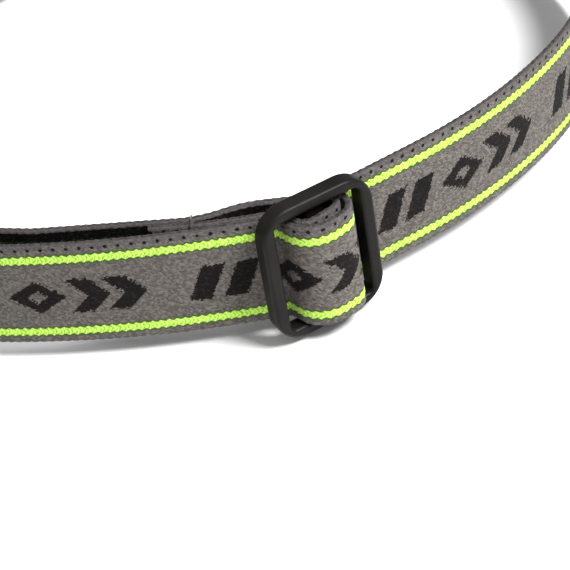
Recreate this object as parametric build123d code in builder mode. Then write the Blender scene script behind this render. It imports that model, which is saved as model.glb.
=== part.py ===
from build123d import *
from math import asin, atan2, cos, degrees, hypot, radians, sin
import os

# Headlamp: an elastic headband with a tri-glide slider, and a small lamp in a tilting yoke.
# +Z up, the beam points along -Y, the wearer's left is +X, and Z = 0 is the surface it stands on.
# The origin is the centre of the head opening, at the level of the headband's supports.

# ---- headband -------------------------------------------------------------------------------
strap_width = 24.0
strap_thickness = 1.5
layer_pitch = 1.7  # centre to centre of two webbing layers lying on each other
strap_mid_z = 15.8
run_heading = 43.0  # direction in which the band leaves each end bar, from the X axis
run_radius = 187.6  # gentle curve between the lamp bracket and the slider
run_length = 71.5
side_heading = 92.0  # direction in which the band leaves the slider for the back of the head
side_length = 16.5
side_radius = 110.0
side_end_heading = 115.5
flap_length = 23.4  # sewn end that returns from the slider
flap_radius = 100.0  # curves away from the run towards the layer it is sewn to
sewn_length = 9.5
sewn_height = 20.0
rest_distance = 24.0  # the second layer lies this far along the run ...
rest_offset = 5.0  # ... and this far behind it
slack_distance = 67.0  # and stands off most just before the slider
slack_offset = 6.4
fixed_flap_length = 24.0  # sewn end at the wearer's right of the bracket

# ---- tri-glide slider -----------------------------------------------------------------------
slider_length = 25.0
slider_height = 30.4
slider_mid_z = 16.45
slider_depth = 4.0
slider_bar = 2.9  # width of the two outer crossbars
slider_rail = 2.5  # height of the top and bottom rails
slider_corner = 6.4
window_corner = 1.2
centre_bar_width = 4.4
centre_bar_depth = 2.4
front_to_bar_axis = 2.8  # from the slider's face to the axis that the webbing turns about
# The webbing comes out through the slider, crowns over its centre bar and goes back in.
rise_heading = 8.0
crown_heading = 98.0
drop_heading = 172.0
rise_radius = 2.5
rise_length = 1.7
over_radius = 6.0  # webbing centre line where it turns over the centre bar
crown_length = 2.4
over_end_radius = 4.4
drop_length = 2.8
drop_radius = 3.0
loop_radius = 2.7  # both bends of the sewn loop inside it
loop_crown = 3.0  # from the bar's axis to the front of that loop
loop_reach = 2.7  # from the bar's axis to the loop's far bend

# ---- bracket and pad ------------------------------------------------------------------------
bar_x = 36.0  # end bars that the headband turns round
bar_y = -86.0
bar_radius = 1.9
bar_turn_radius = 2.85  # webbing centre line around an end bar
bracket_height = 31.6
bracket_thickness = 2.8
bracket_radius = 85.0
slot_inner_x = 31.9
slot_height = 26.0
pad_thickness = 5.0
pad_half_width = 29.0
pad_height = 25.0
arm_inner_x = 28.6
arm_thickness = 2.8
arm_root_y = -89.5
arm_end_radius = 6.5
arm_foot_back = 9.0  # the arms' feet end this far behind the pivot

# ---- lamp -----------------------------------------------------------------------------------
pivot_y = -115.0
pivot_z = 21.0
barrel_radius = 16.0
front_depth = 15.0  # from the pivot axis to the front face
front_corner = 7.0
half_width = 26.0
wall = 1.8
seam_depth = 1.0  # the two shells meet this far in front of the pivot axis
boss_radius = 5.0
boss_end_x = 27.4
washer_radius = 4.6
washer_thickness = 0.9
pivot_radius = 2.0
pivot_clearance = 0.05
screw_tip_x = 26.4
screw_head_radius = 3.8
screw_head_height = 1.6
hex_socket_radius = 1.5

lens_radius = 11.0
lens_back = 12.7
lens_thickness = 1.3
gasket_thickness = 0.5
bezel_bore = 10.0
bezel_outer = 11.9
bezel_flange = 13.0
bezel_front = 16.2
reflector_front = 12.5
reflector_back = 4.5
side_led_x = 18.5

cell_radius = 5.25
cell_length = 44.5
cell_depth = -6.6
cell_rise = 5.6
nub_radius = 1.9
nub_height = 1.2
positive_plate = 0.8

button_x = 15.0
button_depth = 5.0
button_radius = 3.2
button_proud = 1.2

door_half_width = 23.0
door_gap = 0.2
door_from = 4.5  # degrees from straight up towards the back
door_to = 49.5
hinge_angle = 54.0
hinge_axis_radius = 17.0
knuckle_radius = 1.6
knuckle_clearance = 0.3
door_pin_radius = 0.8
knuckle_split = 10.0
knuckle_end = 20.0


def heading_vector(heading):
    return Vector(cos(radians(heading)), sin(radians(heading)))


def left_of(heading):
    return Vector(-sin(radians(heading)), cos(radians(heading)))


def at(depth, rise):
    """Plane.YZ coordinates of a place in the lamp: depth in front of the pivot, rise above it."""
    return (pivot_y - depth, pivot_z + rise)


from_base = (Align.CENTER, Align.CENTER, Align.MIN)


def save(part, name):
    part.label = name
    export_step(part, f"parts/{name}.step")


os.makedirs("parts", exist_ok=True)

# ---- route of the webbing, seen from above ---------------------------------------------------
# Each side starts at its end bar and is laid out for the +X side; the other side is mirrored.
end_bar = Vector(bar_x, bar_y)
run_start = end_bar - left_of(run_heading) * bar_turn_radius
run_centre = run_start + left_of(run_heading) * run_radius
run_direction = heading_vector(run_heading)


def heading_on_run(distance):
    return run_heading + degrees(distance / run_radius)


def from_run(distance, offset):
    """A point beside the run: distance from the bracket, offset towards the head."""
    return run_centre - left_of(heading_on_run(distance)) * (run_radius - offset)


def tangent_off_circle(centre, radius, point):
    """Heading of the line that leaves a circle, kept on its right, for a point."""
    line = point - centre
    return degrees(atan2(line.Y, line.X)) - degrees(asin(radius / hypot(line.X, line.Y)))


def tangent_onto_circle(point, centre, radius):
    """Heading of the line from a point that meets a circle, kept on its right."""
    line = centre - point
    return degrees(atan2(line.Y, line.X)) + degrees(asin(radius / hypot(line.X, line.Y)))


rise_turn = heading_on_run(run_length) - rise_heading
rear_turn = 180 - side_end_heading

with BuildLine() as adjusting_route:
    run = JernArc(run_start, run_direction, run_radius, degrees(run_length / run_radius))
    rise_bend = JernArc(run @ 1, run % 1, rise_radius, -rise_turn)
    rise = Line(rise_bend @ 1, rise_bend @ 1 + (rise_bend % 1) * rise_length)
    over = JernArc(rise @ 1, rise % 1, over_radius, crown_heading - rise_heading)
    crown = Line(over @ 1, over @ 1 + (over % 1) * crown_length)
    over_end = JernArc(crown @ 1, crown % 1, over_end_radius, drop_heading - crown_heading)
    drop = Line(over_end @ 1, over_end @ 1 + (over_end % 1) * drop_length)
    drop_bend = JernArc(drop @ 1, drop % 1, drop_radius, side_heading - drop_heading)
    side_run = Line(drop_bend @ 1, drop_bend @ 1 + (drop_bend % 1) * side_length)
    side = JernArc(side_run @ 1, side_run % 1, side_radius, side_end_heading - side_heading)
    rear_radius = (side @ 1).X / sin(radians(rear_turn))
    rear = JernArc(side @ 1, side % 1, rear_radius, rear_turn)

bar_axis = over.center_point
slider_y = bar_axis.Y
slider_face_x = bar_axis.X + front_to_bar_axis

# The band's second layer: round the end bar, back to the slider, round its centre bar.
flap_heading = heading_on_run(run_length)
flap_centre = from_run(run_length, layer_pitch) + left_of(flap_heading) * flap_radius


def from_flap(distance, offset):
    """A point beside the sewn end: distance back from the slider, offset towards the head."""
    heading = flap_heading - degrees(distance / flap_radius)
    return flap_centre - left_of(heading) * (flap_radius - offset)


rest = from_run(rest_distance, rest_offset)
sewn_far = from_flap(flap_length + 3, layer_pitch)
sewn_near = from_flap(flap_length - sewn_length, layer_pitch)
slack = from_run(slack_distance, slack_offset)
loop_front = heading_vector(rise_heading) * (loop_crown - loop_radius)
loop_far = bar_axis + heading_vector(crown_heading) * loop_reach + loop_front
loop_near_reach = over_radius - layer_pitch - loop_radius
return_heading = tangent_off_circle(end_bar, bar_turn_radius, rest)
loop_heading = tangent_onto_circle(slack, loop_far, loop_radius)
loop_start = loop_far + left_of(loop_heading) * loop_radius
loop_direction = heading_vector(loop_heading)
far_turn = crown_heading - 180 - loop_heading
near_turn = rise_heading - crown_heading

with BuildLine() as second_layer_route:
    end_turn = return_heading - run_heading - 180
    bar_turn = JernArc(run_start, run_direction * -1, bar_turn_radius, end_turn)
    FilletPolyline(bar_turn @ 1, rest, sewn_far, sewn_near, slack, loop_start, radius=20)
    far_bend = JernArc(loop_start, loop_direction, loop_radius, far_turn)
    loop_top = Line(far_bend @ 1, far_bend @ 1 + (far_bend % 1) * (loop_reach + loop_near_reach))
    near_bend = JernArc(loop_top @ 1, loop_top % 1, loop_radius, near_turn)
    back_in_length = rise_length + loop_crown - loop_radius
    back_in = Line(near_bend @ 1, near_bend @ 1 + (near_bend % 1) * back_in_length)
    back_bend = JernArc(back_in @ 1, back_in % 1, rise_radius + layer_pitch, rise_turn)
    JernArc(back_bend @ 1, back_bend % 1, flap_radius, -degrees(flap_length / flap_radius))

# The fixed side has no slider: the same curve, then one arc to the middle of the rear.
to_rear = rear @ 1 - run_centre
fixed_radius = (run_radius**2 - to_rear.length**2) / (2 * (run_radius - to_rear.Y))
between_centres = run_centre - (rear @ 1 - Vector(0, fixed_radius))
join_heading = degrees(atan2(-between_centres.X, between_centres.Y))
fixed_flap_joint = from_run(fixed_flap_length - sewn_length - 4, layer_pitch)
fixed_flap_end = from_run(fixed_flap_length, layer_pitch)
fixed_flap_heading = tangent_off_circle(end_bar, bar_turn_radius, fixed_flap_joint)

with BuildLine() as fixed_route:
    fixed_run = JernArc(run_start, run_direction, run_radius, join_heading - run_heading)
    JernArc(fixed_run @ 1, fixed_run % 1, fixed_radius, 180 - join_heading)
    fixed_turn = fixed_flap_heading - run_heading - 180
    fixed_bar_turn = JernArc(run_start, run_direction * -1, bar_turn_radius, fixed_turn)
    FilletPolyline(fixed_bar_turn @ 1, fixed_flap_joint, fixed_flap_end, radius=20)

fixed_edges = [edge.mirror(Plane.YZ) for edge in fixed_route.edges()]
route = Wire(adjusting_route.edges() + second_layer_route.edges() + fixed_edges)
route = route.moved(Location((0, 0, strap_mid_z)))

with BuildPart() as headband:
    start_tangent = route % 0
    start_left = Vector(-start_tangent.Y, start_tangent.X)
    with BuildSketch(Plane(origin=route @ 0, x_dir=start_left, z_dir=start_tangent)):
        Rectangle(strap_thickness, strap_width)
    sweep(path=route)
    # Rows of stitching that close the two sewn loops.
    sewn_middle = flap_length - sewn_length / 2 - 1
    sewn_centre = from_flap(sewn_middle, 0.5 * layer_pitch) + Vector(0, 0, strap_mid_z)
    sewn_heading = flap_heading - degrees(sewn_middle / flap_radius)
    with Locations(Location(sewn_centre, (0, 0, sewn_heading))):
        Box(sewn_length - 2, layer_pitch, sewn_height)
    fixed_middle = fixed_flap_length - sewn_length / 2 - 1
    fixed_centre = from_run(fixed_middle, 0.5 * layer_pitch)
    fixed_angle = (0, 0, -heading_on_run(fixed_middle))
    with Locations(Location((-fixed_centre.X, fixed_centre.Y, strap_mid_z), fixed_angle)):
        Box(sewn_length - 2, layer_pitch, sewn_height)
save(headband.part, "headband")

# ---- slider ---------------------------------------------------------------------------------
window_length = slider_length - 2 * slider_bar
window_height = slider_height - 2 * slider_rail
slider_back_x = slider_face_x - slider_depth

with BuildPart() as strap_slider:
    with BuildSketch(Plane.YZ.offset(slider_back_x)):
        with Locations((slider_y, slider_mid_z)):
            RectangleRounded(slider_length, slider_height, slider_corner)
            RectangleRounded(window_length, window_height, window_corner, mode=Mode.SUBTRACT)
    extrude(amount=slider_depth)
    fillet(strap_slider.edges().group_by(Axis.X)[-1], 0.8)
    fillet(strap_slider.edges().group_by(Axis.X)[0], 0.7)
    with BuildSketch(Plane.XY.offset(slider_mid_z - window_height / 2 - 0.5)):
        with Locations((bar_axis.X, slider_y)):
            RectangleRounded(centre_bar_depth, centre_bar_width, 0.9)
    extrude(amount=window_height + 1)
save(strap_slider.part, "strap_slider")

# ---- bracket, pad and pivots ----------------------------------------------------------------
bracket_centre_y = bar_y + (bracket_radius**2 - bar_x**2) ** 0.5
slot_bottom = strap_mid_z - slot_height / 2


def curved_band(outer_radius, thickness, half_span):
    """A band in plan, curved like the forehead, trimmed to +-half_span in X."""
    with Locations((0, bracket_centre_y)):
        Circle(outer_radius)
        Circle(outer_radius - thickness, mode=Mode.SUBTRACT)
    with Locations((0, bracket_centre_y - bracket_radius)):
        Rectangle(2 * half_span, bracket_radius, mode=Mode.INTERSECT)


with BuildPart() as bracket:
    with BuildSketch():
        curved_band(bracket_radius + bracket_thickness / 2, bracket_thickness, bar_x + 1.4)
    extrude(amount=bracket_height)
    for side_x in (-1, 1):
        with Locations((side_x * (slot_inner_x + 5), bar_y, slot_bottom)):
            Box(10, 20, slot_height, align=from_base, mode=Mode.SUBTRACT)
        with Locations((side_x * bar_x, bar_y, 0)):
            Cylinder(bar_radius, bracket_height, align=from_base)
    # Yoke arms: plates that run forward on both sides of the lamp, with a round pivot end.
    for side_x in (-1, 1):
        first_face = arm_inner_x if side_x > 0 else -arm_inner_x - arm_thickness
        with BuildSketch(Plane.YZ.offset(first_face)):
            with BuildLine():
                Polyline(
                    (arm_root_y, 0),
                    (pivot_y + arm_foot_back, 0),
                    (pivot_y - arm_end_radius * 0.8, pivot_z - arm_end_radius * 0.6),
                    (pivot_y, pivot_z + arm_end_radius),
                    (arm_root_y, bracket_height),
                    close=True,
                )
            make_face()
            with Locations((pivot_y, pivot_z)):
                Circle(arm_end_radius)
                Circle(pivot_radius, mode=Mode.SUBTRACT)
        extrude(amount=arm_thickness)
save(bracket.part, "bracket")

with BuildPart() as forehead_pad:
    with BuildSketch(Plane.XY.offset(strap_mid_z - pad_height / 2)):
        curved_band(bracket_radius - bracket_thickness / 2 - 0.05, pad_thickness, pad_half_width)
    extrude(amount=pad_height)
    fillet(forehead_pad.edges().filter_by(Axis.Z), 1.5)
save(forehead_pad.part, "forehead_pad")

arm_outer_x = arm_inner_x + arm_thickness

with BuildPart() as pivot_screws:
    for side_x in (-1, 1):
        with Locations(Location((side_x * screw_tip_x, pivot_y, pivot_z), (0, 90 * side_x, 0))):
            Cylinder(pivot_radius, arm_outer_x - screw_tip_x, align=from_base)
        with Locations(Location((side_x * arm_outer_x, pivot_y, pivot_z), (0, 90 * side_x, 0))):
            Cylinder(screw_head_radius, screw_head_height, align=from_base)
        head_x = side_x * (arm_outer_x + screw_head_height)
        with BuildSketch(Plane(origin=(head_x, pivot_y, pivot_z), z_dir=(side_x, 0, 0))):
            RegularPolygon(hex_socket_radius, 6)
        extrude(amount=-1.0, mode=Mode.SUBTRACT)
save(pivot_screws.part, "pivot_screws")

# ---- lamp shells ----------------------------------------------------------------------------


def lamp_profile(inset):
    """Side profile of the lamp: a round back about the pivot and a soft-cornered front."""
    half = barrel_radius - inset
    corner = front_corner - inset
    front = front_depth - inset
    with BuildLine() as outline:
        top = Line(at(0, half), at(front - corner, half))
        top_bend = JernArc(top @ 1, top % 1, corner, 90)
        face = Line(top_bend @ 1, at(front, -half + corner))
        bottom_bend = JernArc(face @ 1, face % 1, corner, 90)
        bottom = Line(bottom_bend @ 1, at(0, -half))
        ThreePointArc(bottom @ 1, at(-half, 0), at(0, half))
    make_face(outline.edges())


def hollow_body():
    """The closed lamp housing before it is parted into its two shells."""
    with BuildPart() as body:
        with BuildSketch(Plane.YZ.offset(-half_width)):
            lamp_profile(0)
        extrude(amount=2 * half_width)
        fillet(body.edges().group_by(Axis.X)[-1], 1.6)
        fillet(body.edges().group_by(Axis.X)[0], 1.6)
        with BuildSketch(Plane.YZ.offset(-half_width + wall)):
            lamp_profile(wall)
        extrude(amount=2 * (half_width - wall), mode=Mode.SUBTRACT)
    return body.part


def door_sector(outer, inner, from_angle, to_angle):
    """A ring sector over the battery bay, in the side view, angles measured back from the top."""
    middle = (from_angle + to_angle) / 2
    corners = []
    for radius, angles in ((outer, (from_angle, middle, to_angle)), (inner, (to_angle, middle, from_angle))):
        corners.append([at(-radius * sin(radians(a)), radius * cos(radians(a))) for a in angles])
    with BuildLine() as outline:
        ThreePointArc(*corners[0])
        Line(corners[0][2], corners[1][0])
        ThreePointArc(*corners[1])
        Line(corners[1][2], corners[0][0])
    make_face(outline.edges())


def optic_plane(depth):
    """A plane across the beam, depth in front of the pivot axis, facing forward."""
    return Plane(origin=(0, pivot_y - depth, pivot_z), x_dir=(1, 0, 0), z_dir=(0, -1, 0))


def across(half_span, centre_x=0.0):
    """A sketch plane for a profile that is extruded 2 * half_span along X."""
    return Plane.YZ.offset(centre_x - half_span)


hinge_place = at(
    -hinge_axis_radius * sin(radians(hinge_angle)), hinge_axis_radius * cos(radians(hinge_angle))
)
seam_plane = Plane(origin=(0, pivot_y - seam_depth, 0), z_dir=(0, -1, 0))
whole_body = hollow_body()
outer_knuckle_x = (knuckle_split + knuckle_end) / 2
outer_knuckle_half = (knuckle_end - knuckle_split) / 2 - door_gap

with BuildPart() as rear_shell:
    add(whole_body)
    split(bisect_by=seam_plane, keep=Keep.BOTTOM)
    for side_x in (-1, 1):
        with Locations(Location((side_x * half_width, pivot_y, pivot_z), (0, 90 * side_x, 0))):
            Cylinder(boss_radius, boss_end_x - half_width, align=from_base)
        with Locations(Location((side_x * (boss_end_x - 1.5), pivot_y, pivot_z), (0, 90, 0))):
            Cylinder(pivot_radius + pivot_clearance, 4, mode=Mode.SUBTRACT)
    split(bisect_by=seam_plane, keep=Keep.BOTTOM)
    with BuildSketch(across(door_half_width + door_gap)):
        door_sector(barrel_radius + 1, barrel_radius - wall - 1, door_from - 0.6, door_to + 0.6)
    extrude(amount=2 * (door_half_width + door_gap), mode=Mode.SUBTRACT)
    for side_x in (-1, 1):
        half = outer_knuckle_half + door_gap
        with BuildSketch(across(half, side_x * outer_knuckle_x)):
            with Locations(hinge_place):
                Circle(knuckle_radius + knuckle_clearance)
        extrude(amount=2 * half, mode=Mode.SUBTRACT)
    with BuildSketch(across(knuckle_split - door_gap)):
        with Locations(hinge_place):
            Circle(knuckle_radius)
            Circle(door_pin_radius, mode=Mode.SUBTRACT)
    extrude(amount=2 * (knuckle_split - door_gap))
save(rear_shell.part, "rear_shell")

with BuildPart() as front_shell:
    add(whole_body)
    split(bisect_by=seam_plane, keep=Keep.TOP)
    with BuildSketch(optic_plane(front_depth)):
        Circle(bezel_outer + 0.1)
        with Locations((-side_led_x, 0), (side_led_x, 0)):
            Circle(1.7)
    extrude(amount=-2 * wall, mode=Mode.SUBTRACT)
    with Locations((button_x, pivot_y - button_depth, pivot_z + barrel_radius)):
        Cylinder(button_radius + 0.2, 3 * wall, mode=Mode.SUBTRACT)
    for side_x in (-1, 1):
        with Locations(Location((side_x * half_width, pivot_y, pivot_z), (0, 90 * side_x, 0))):
            Cylinder(boss_radius + 0.3, 4, mode=Mode.SUBTRACT)
save(front_shell.part, "front_shell")

with BuildPart() as friction_washers:
    for side_x in (-1, 1):
        with Locations(Location((side_x * boss_end_x, pivot_y, pivot_z), (0, 90 * side_x, 0))):
            Cylinder(washer_radius, washer_thickness, align=from_base)
            bore = pivot_radius + pivot_clearance
            Cylinder(bore, washer_thickness, align=from_base, mode=Mode.SUBTRACT)
save(friction_washers.part, "friction_washers")

# ---- optics and electronics ----------------------------------------------------------------


def disc(name, back, thickness, radius, bore=0.0):
    with BuildPart() as item:
        with BuildSketch(optic_plane(back)):
            Circle(radius)
            if bore:
                Circle(bore, mode=Mode.SUBTRACT)
        extrude(amount=thickness)
    save(item.part, name)


def plate(name, back, thickness, width, height):
    with BuildPart() as item:
        with BuildSketch(optic_plane(back)):
            RectangleRounded(width, height, 1.0)
        extrude(amount=thickness)
    save(item.part, name)


lens_front = lens_back + lens_thickness
lip_back = lens_front + gasket_thickness

with BuildPart() as lens:
    with BuildSketch(optic_plane(lens_back)):
        Circle(lens_radius)
    extrude(amount=lens_thickness)
    fillet(lens.edges().group_by(Axis.Y)[0], 0.2)
save(lens.part, "lens")

disc("lens_gasket", lens_front, gasket_thickness, lens_radius, bezel_bore + 0.2)

with BuildPart() as bezel_ring:
    with BuildSketch(optic_plane(lens_back - 0.1)):
        Circle(bezel_outer)
    extrude(amount=front_depth - lens_back + 0.15)
    with BuildSketch(optic_plane(front_depth + 0.05)):
        Circle(bezel_flange)
    extrude(amount=bezel_front - front_depth - 0.05)
    with BuildSketch(optic_plane(lens_back - 0.2)):
        Circle(bezel_bore)
    extrude(amount=bezel_front - lens_back + 1, mode=Mode.SUBTRACT)
    with BuildSketch(optic_plane(lens_back - 0.2)):
        Circle(lens_radius + 0.05)
    extrude(amount=lip_back - lens_back + 0.2, mode=Mode.SUBTRACT)
    rim = bezel_ring.edges().group_by(Axis.Y)[0]
    chamfer(rim, 0.5)
save(bezel_ring.part, "bezel_ring")

with BuildPart() as reflector:
    with BuildSketch(Plane.XY):
        with BuildLine():
            cup_inside = ThreePointArc((2.4, reflector_back), (7.2, 7.8), (10.2, reflector_front))
            Line(cup_inside @ 1, (10.8, reflector_front))
            cup_outside = ThreePointArc((10.8, reflector_front), (7.8, 7.5), (3.2, reflector_back))
            Line(cup_outside @ 1, cup_inside @ 0)
        make_face()
    revolve(axis=Axis.Y)
reflector_axis = Location((0, pivot_y, pivot_z), (0, 0, 180))
save(reflector_axis * reflector.part, "reflector")

plate("main_pcb", 1.2, 1.2, 44, 13)
disc("heat_sink", 2.4, 1.1, 9.0)
disc("led_board", 3.5, 0.7, 8.5)
plate("led_chip", 4.2, 0.7, 2.6, 2.6)

with BuildPart() as side_leds:
    with BuildSketch(optic_plane(9.5)):
        with Locations((-side_led_x, 0), (side_led_x, 0)):
            Circle(1.5)
    extrude(amount=5.3)
    fillet(side_leds.edges().group_by(Axis.Y)[0], 1.2)
    with BuildSketch(optic_plane(8.5)):
        with Locations((-side_led_x, 0), (side_led_x, 0)):
            Circle(2.2)
    extrude(amount=1.0)
save(side_leds.part, "side_leds")

with BuildPart() as side_led_boards:
    with BuildSketch(optic_plane(7.5)):
        with Locations((-side_led_x, 0), (side_led_x, 0)):
            Rectangle(7, 6)
    extrude(amount=1.0)
save(side_led_boards.part, "side_led_boards")

# ---- power switch ---------------------------------------------------------------------------
wall_inside = barrel_radius - wall
button_flange = 1.0
button_foot = wall_inside - 0.2 - button_flange


def on_top(rise):
    """A plane facing up inside the lamp, at the power button."""
    return Plane(origin=(button_x, pivot_y - button_depth, pivot_z + rise))


with BuildPart() as switch_button:
    with BuildSketch(on_top(button_foot)):
        Circle(button_radius + 0.7)
    extrude(amount=button_flange)
    with BuildSketch(on_top(button_foot)):
        Circle(button_radius)
    extrude(amount=barrel_radius + button_proud - button_foot)
    fillet(switch_button.edges().group_by(Axis.Z)[-1], 0.7)
save(switch_button.part, "switch_button")

with BuildPart() as tactile_switch:
    with BuildSketch(on_top(8.2)):
        Rectangle(6, 6)
    extrude(amount=3.2)
    with BuildSketch(on_top(11.4)):
        Circle(1.7)
    extrude(amount=button_foot - 0.85 - 11.4)
save(tactile_switch.part, "tactile_switch")

with BuildPart() as switch_board:
    with BuildSketch(on_top(7.2)):
        Rectangle(8, 7.4)
    extrude(amount=1.0)
save(switch_board.part, "switch_board")

# ---- batteries ------------------------------------------------------------------------------
cavity_end = half_width - wall
plus_end = cavity_end - positive_plate


def cell(name, direction, rise):
    """An AAA cell along X whose positive nub points along direction."""
    base_x = direction * (plus_end - cell_length)
    with BuildPart() as item:
        with Locations(Location((base_x, *at(cell_depth, rise)), (0, 90 * direction, 0))):
            Cylinder(cell_radius, cell_length - nub_height, align=from_base)
            Cylinder(nub_radius, cell_length, align=from_base)
    save(item.part, name)


cell("battery_upper", 1, cell_rise)
cell("battery_lower", -1, -cell_rise)

spring_seat = 0.5
spring_length = cavity_end - spring_seat - (cell_length - plus_end)

with BuildPart() as contact_springs:
    for direction, rise in ((-1, cell_rise), (1, -cell_rise)):
        facing_cell = (0, -90 * direction, 0)
        with Locations(Location((direction * cavity_end, *at(cell_depth, rise)), facing_cell)):
            Cylinder(4.0, spring_seat, align=from_base)
        coil_x = direction * (cavity_end - spring_seat)
        with Locations(Location((coil_x, *at(cell_depth, rise)), facing_cell)):
            Cone(3.2, 2.2, spring_length, align=from_base)
save(contact_springs.part, "contact_springs")

with BuildPart() as contact_plates:
    for direction, rise in ((1, cell_rise), (-1, -cell_rise)):
        with Locations((direction * (cavity_end - positive_plate / 2), *at(cell_depth, rise))):
            Box(positive_plate, 7, 7)
save(contact_plates.part, "contact_plates")

with BuildPart() as bulkhead:
    with BuildSketch(optic_plane(-1.1)):
        RectangleRounded(2 * cavity_end - 0.4, 2 * wall_inside - 1.2, 1.0)
    extrude(amount=1.2)
save(bulkhead.part, "bulkhead")

# ---- battery door ---------------------------------------------------------------------------
with BuildPart() as battery_door:
    with BuildSketch(across(door_half_width)):
        door_sector(barrel_radius, barrel_radius - 1.5, door_from, door_to)
    extrude(amount=2 * door_half_width)
    for side_x in (-1, 1):
        with BuildSketch(across(outer_knuckle_half, side_x * outer_knuckle_x)):
            with Locations(hinge_place):
                Circle(knuckle_radius)
            door_sector(barrel_radius + 1.0, barrel_radius - 0.8, door_to - 5, door_to + 0.3)
        extrude(amount=2 * outer_knuckle_half)
    for side_x in (-1, 1):
        with BuildSketch(across(outer_knuckle_half + 1, side_x * outer_knuckle_x)):
            with Locations(hinge_place):
                Circle(door_pin_radius + 0.05)
        extrude(amount=2 * (outer_knuckle_half + 1), mode=Mode.SUBTRACT)
    # Thumb ridges on the free edge.
    for ridge in range(3):
        ridge_angle = door_from + 3 + 4 * ridge
        with BuildSketch(across(7)):
            door_sector(barrel_radius + 0.6, barrel_radius - 0.3, ridge_angle, ridge_angle + 2)
        extrude(amount=14)
save(battery_door.part, "battery_door")

with BuildPart() as door_hinge_pin:
    with BuildSketch(across(knuckle_end - 0.5)):
        with Locations(hinge_place):
            Circle(door_pin_radius)
    extrude(amount=2 * (knuckle_end - 0.5))
save(door_hinge_pin.part, "door_hinge_pin")
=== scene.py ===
import math
import bmesh
import bpy
from mathutils import Matrix, Vector


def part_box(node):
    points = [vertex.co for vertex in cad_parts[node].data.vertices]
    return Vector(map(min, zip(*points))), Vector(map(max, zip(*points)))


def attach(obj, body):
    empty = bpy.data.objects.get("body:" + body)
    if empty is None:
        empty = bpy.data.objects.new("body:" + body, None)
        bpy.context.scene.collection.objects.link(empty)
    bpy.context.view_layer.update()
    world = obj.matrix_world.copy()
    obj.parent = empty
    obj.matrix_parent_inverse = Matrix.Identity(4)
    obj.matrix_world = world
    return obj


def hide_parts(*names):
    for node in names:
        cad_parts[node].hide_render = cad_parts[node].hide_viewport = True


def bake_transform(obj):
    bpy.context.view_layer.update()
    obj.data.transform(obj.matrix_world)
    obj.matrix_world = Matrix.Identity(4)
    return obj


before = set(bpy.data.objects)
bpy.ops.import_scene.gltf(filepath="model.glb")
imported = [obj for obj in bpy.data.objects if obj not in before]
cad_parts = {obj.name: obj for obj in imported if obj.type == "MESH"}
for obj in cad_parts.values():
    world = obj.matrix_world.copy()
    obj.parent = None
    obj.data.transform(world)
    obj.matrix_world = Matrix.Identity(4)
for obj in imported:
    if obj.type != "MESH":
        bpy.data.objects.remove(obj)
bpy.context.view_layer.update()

MM = 0.001
ROUNDING = 1e-9

# ---- places taken from the frame ------------------------------------------------------------
band_low, band_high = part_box("headband")
pad_low, pad_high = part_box("forehead_pad")

BAND_WIDTH = band_high.z - band_low.z
BAND_MID = (band_high.z + band_low.z) / 2

# ---- the webbing's route, the same as its CAD solid's ----------------------------------------
THICKNESS = 1.5 * MM
PITCH = 1.7 * MM
BAR_TURN = 2.85 * MM
END_BAR = Vector((36 * MM, -86 * MM))
RUN_HEADING = math.radians(43)
RUN_RADIUS = 187.6 * MM
RUN_LENGTH = 71.5 * MM
RISE_HEADING = math.radians(8)
CROWN_HEADING = math.radians(98)
DROP_HEADING = math.radians(172)
SIDE_HEADING = math.radians(92)
SIDE_END_HEADING = math.radians(115.5)
RISE_RADIUS = 2.5 * MM
RISE_LENGTH = 1.7 * MM
OVER_RADIUS = 6.0 * MM
CROWN_LENGTH = 2.4 * MM
OVER_END_RADIUS = 4.4 * MM
DROP_LENGTH = 2.8 * MM
DROP_RADIUS = 3.0 * MM
SIDE_LENGTH = 16.5 * MM
SIDE_RADIUS = 110 * MM
FLAP_LENGTH = 23.4 * MM
FLAP_RADIUS = 100 * MM
SEWN_LENGTH = 9.5 * MM
REST = (24 * MM, 5.0 * MM)  # distance along the run and offset behind it
SLACK = (67 * MM, 6.4 * MM)
LOOP_RADIUS = 2.7 * MM
LOOP_CROWN = 3.0 * MM
LOOP_REACH = 2.7 * MM
FIXED_FLAP_LENGTH = 24 * MM


def direction(heading):
    return Vector((math.cos(heading), math.sin(heading)))


def left_of(heading):
    return Vector((-math.sin(heading), math.cos(heading)))


class Route:
    """A path in plan made of straight runs and tangent arcs, kept as points with headings."""

    def __init__(self, start, heading, step=0.3 * MM):
        self.step = step
        self.point = Vector(start)
        self.heading = heading
        self.length = 0.0
        self.samples = [(self.point.copy(), heading, 0.0)]

    def keep(self, point, heading, length):
        self.samples.append((point, heading, length))

    def run(self, distance):
        count = max(1, round(distance / self.step))
        for i in range(1, count + 1):
            part = distance * i / count
            self.keep(self.point + direction(self.heading) * part, self.heading, self.length + part)
        self.point = self.samples[-1][0]
        self.length += distance

    def arc(self, radius, turn):
        side = 1 if turn > 0 else -1
        centre = self.point + left_of(self.heading) * radius * side
        sweep = abs(turn) * radius
        count = max(6, round(sweep / self.step))
        for i in range(1, count + 1):
            heading = self.heading + turn * i / count
            self.keep(centre - left_of(heading) * radius * side, heading, self.length + sweep * i / count)
        self.point = self.samples[-1][0]
        self.heading += turn
        self.length += sweep
        return centre

    def towards(self, corner, next_corner, bend=20 * MM):
        """Straight on to a corner of the route, rounded into the line to the next one."""
        turn = heading_of(next_corner - corner) - self.heading
        turn = (turn + math.pi) % (2 * math.pi) - math.pi
        self.run((corner - self.point).length - bend * math.tan(abs(turn) / 2))
        self.arc(bend, turn)


def heading_of(vector):
    return math.atan2(vector.y, vector.x)


run_start = END_BAR - left_of(RUN_HEADING) * BAR_TURN
run_centre = run_start + left_of(RUN_HEADING) * RUN_RADIUS


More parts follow.
